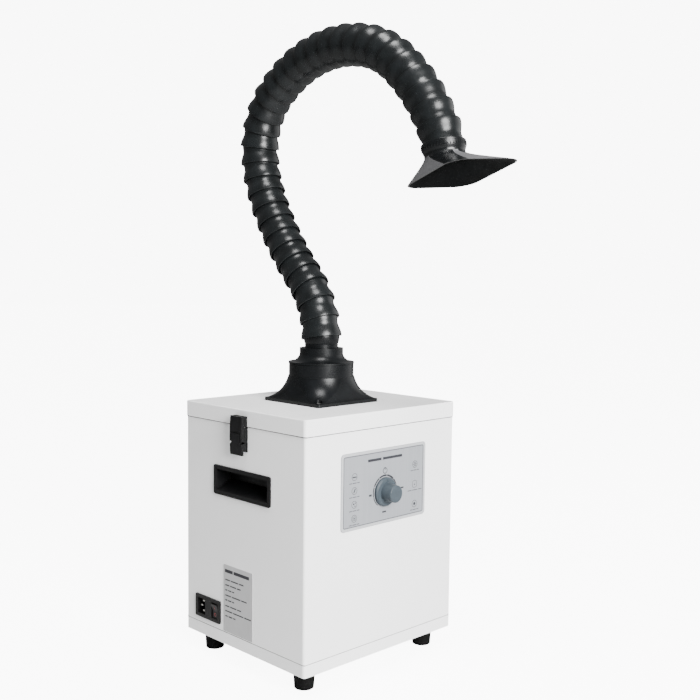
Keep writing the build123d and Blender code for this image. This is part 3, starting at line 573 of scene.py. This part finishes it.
def seam_shade_strip(name, base, tip):
    """A dark strip of painted shade between two heights, a hair proud of the cabinet's outline, where
    the seam's shadow gap falls.
    """
    box_low, box_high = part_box("base_tray")
    width, depth = (box_high.x - box_low.x) / MM, (box_high.y - box_low.y) / MM

    def loop(inset, height):
        return [Vector((u, v, height)) for u, v in
                rounded(0, 0, width - 2 * inset, depth - 2 * inset, SEAM_CORNER)]

    strip = Solid().lofted([loop(-SEAM_PROUD, base), loop(-SEAM_PROUD, tip)],
                           [loop(SEAM_DEPTH, base), loop(SEAM_DEPTH, tip)])
    strip.build(name, "cabinet", "gasket_foam")


lid_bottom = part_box("lid")[0].z / MM
tray_top, shell_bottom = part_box("base_tray")[1].z / MM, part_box("cabinet_shell")[0].z / MM
# Painted shadow along the tray and lid seams, worn in the gasket foam's black.
seam_shade_strip("tray_seam_painted_shade", tray_top - TRAY_OVERLAP, shell_bottom + TRAY_OVERLAP)
seam_shade_strip("lid_seam_painted_shade", lid_bottom - LID_GAP - LID_OVERLAP, lid_bottom - LID_CLEARANCE)


# ---------------------------------------------------------------- latches

LATCH_HALF_WIDTH = 12.0
BOW_MIDDLE, BOW_REACH, BOW_HEIGHT = 318.5, 27.0, 1.3
COVER_ROOT, COVER_FACE = 9.6, 10.1
# Heights of the lever's pad and tongue, and of the bail's plate and the arms beside the tongue
LEVER_PAD, LEVER_TONGUE = (293.0, 307.2), (307.2, 322.0)
BAIL_PLATE, BAIL_ARMS = (322.9, 344.0), (310.7, 322.9)
TONGUE_HALF_WIDTH, ARM_INNER, CHEEK_INNER = 8.5, 9.2, 9.8
# Cheeks: (nearest, farthest, lowest, highest) from the wall
BASE_CHEEKS = ((0.5, 5.6, 325.5, 329.8), (0.5, 5.6, 308.6, 317.0))
KEEPER_CHEEK = (1.1, 5.6, 331.0, 333.0)


def bowed(low, high, steps=8):
    """The section of a cover whose outer face bows outward between two heights."""
    heights = [high + (low - high) * i / steps for i in range(steps + 1)]
    face = [(COVER_FACE + BOW_HEIGHT * (1 - ((z - BOW_MIDDLE) / BOW_REACH) ** 2), z) for z in heights]
    return [(COVER_ROOT, low), (COVER_ROOT, high)] + face


def cheeks(u0, u1, z0, z1):
    return [(u0, z0), (u0, z1), (u1, z1), (u1, z0)]


for side, name in ((-1, "left"), (1, "right")):
    wall = (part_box("cabinet_shell")[side > 0].x) / MM
    place = Matrix.Translation((wall, 0, 0)) @ Matrix.Rotation(math.pi if side < 0 else 0, 4, "Z")
    half = LATCH_HALF_WIDTH
    lever = Solid().swept(bowed(*LEVER_PAD), place, -half, half)
    lever.swept(bowed(*LEVER_TONGUE), place, -TONGUE_HALF_WIDTH, TONGUE_HALF_WIDTH)
    lever.build(f"{name}_lever_cover", f"{name}_lever", "latch_plastic")
    bail = Solid().swept(bowed(*BAIL_PLATE), place, -half, half)
    bail.swept(bowed(*BAIL_ARMS), place, -half, -ARM_INNER)
    bail.swept(bowed(*BAIL_ARMS), place, ARM_INNER, half)
    bail.build(f"{name}_bail_cover", f"{name}_bail", "latch_plastic")
    on_base, on_lid = Solid(), Solid()
    for y0, y1 in ((-half, -CHEEK_INNER), (CHEEK_INNER, half)):
        for cheek in BASE_CHEEKS:
            on_base.swept(cheeks(*cheek), place, y0, y1)
        on_lid.swept(cheeks(*KEEPER_CHEEK), place, y0, y1)
    on_base.build(f"{name}_base_cheeks", "cabinet", "latch_plastic")
    on_lid.build(f"{name}_keeper_cheeks", "lid", "latch_plastic")


# ---------------------------------------------------------------- rocker marks

ROCKER_TILT = math.radians(-8.0)
ROCKER_PIVOT = Vector(joint_place("rocker_tilt"))
ROCKER_CROWN, ROCKER_RISE, ROCKER_HALF = 3.6 * MM, 1.4 * MM, 9.9 * MM
turn = Matrix.Rotation(ROCKER_TILT, 4, "Y")
for name, side in (("rocker_mark_on", 1), ("rocker_mark_off", -1)):
    crown = Vector((-ROCKER_CROWN, 0, 0))
    tip = Vector((-ROCKER_CROWN - ROCKER_RISE, 0, side * ROCKER_HALF))
    up = (turn @ (tip - crown)).normalized() * side
    middle = ROCKER_PIVOT + turn @ ((crown + tip) / 2)
    mark = Print(Surface(middle, (0, -1, 0), up))
    if side > 0:
        mark.bar(0, 0, 1.2, 4.6)
    else:
        mark.ring(0, 0, 2.5, 0.9)
    mark.build(name, "rocker", PRINT_RED, "rocker_plastic")


# ---------------------------------------------------------------- stage, light and camera

WHITE_OUT = 9.0
AMBIENT = 0.35
FLOOR_RADIUS, FLOOR_POINTS = 14.0, 64

# The floor and the studio are bright only where the camera sees them and dim as lights.
floor_mesh = bpy.data.meshes.new("floor")
floor_mesh.from_pydata([(FLOOR_RADIUS * u, FLOOR_RADIUS * v, 0)
                        for u, v in circle(0, 0, 1, FLOOR_POINTS)],
                       [], [tuple(range(FLOOR_POINTS))])
floor_shader = Shader("floor_pale", (0.45, 0.45, 0.45), 0.8, specular=0.2)
floor_shader.mottle(2, 0.01).gloss(3, 0.03).grain(40, 0.0002)
seen = floor_shader.node("ShaderNodeLightPath").outputs["Is Camera Ray"]
floor_shader.link(floor_shader.ramp(seen, 0, 1, 0, WHITE_OUT),
                  floor_shader.bsdf.inputs["Emission Strength"])
floor_shader.bsdf.inputs["Emission Color"].default_value = (1, 1, 1, 1)
floor_mesh.materials.append(floor_shader.material)
floor = bpy.data.objects.new("floor", floor_mesh)
bpy.context.scene.collection.objects.link(floor)

world = bpy.data.worlds.new("studio")
bpy.context.scene.world = world
world.use_nodes = True
sky = world.node_tree
sky_seen = sky.nodes.new("ShaderNodeLightPath")
sky_strength = sky.nodes.new("ShaderNodeMapRange")
sky_strength.inputs["To Min"].default_value = AMBIENT
sky_strength.inputs["To Max"].default_value = WHITE_OUT
sky.links.new(sky_seen.outputs["Is Camera Ray"], sky_strength.inputs["Value"])
sky.links.new(sky_strength.outputs["Result"], sky.nodes["Background"].inputs["Strength"])
sky.nodes["Background"].inputs["Color"].default_value = (1, 1, 1, 1)


def softbox(name, place, target, size, power):
    """A round area light aimed at a point."""
    light = bpy.data.lights.new(name, "AREA")
    light.shape = "DISK"
    light.size, light.energy = size, power
    lamp = bpy.data.objects.new(name, light)
    lamp.location = place
    lamp.rotation_mode = "QUATERNION"
    lamp.rotation_quaternion = (Vector(target) - Vector(place)).to_track_quat("-Z", "Y")
    bpy.context.scene.collection.objects.link(lamp)


softbox("key", (-0.69, -2.97, 1.35), (0, 0, 0.4), 1.7, 400)
softbox("side", (2.6, -0.9, 0.9), (0, 0, 0.5), 2.8, 30)
softbox("top", (-0.5, -0.6, 2.7), (0, -0.1, 0.7), 1.0, 85)

CAMERA_PLACE = (-0.9395, -1.0190, 0.5333)
CAMERA_YAW, CAMERA_PITCH, CAMERA_ROLL = (math.radians(a) for a in (44.33, 4.52, 0.62))
SENSOR_WIDTH, LENS = 36.0, 51.04
camera_data = bpy.data.cameras.new("camera")
camera_data.sensor_width, camera_data.lens = SENSOR_WIDTH, LENS
camera = bpy.data.objects.new("camera", camera_data)
camera.matrix_world = (
    Matrix.Translation(CAMERA_PLACE)
    @ Matrix.Rotation(-CAMERA_YAW, 4, "Z")
    @ Matrix.Rotation(math.pi / 2 - CAMERA_PITCH, 4, "X")
    @ Matrix.Rotation(CAMERA_ROLL, 4, "Z")
)
bpy.context.scene.collection.objects.link(camera)
bpy.context.scene.camera = camera
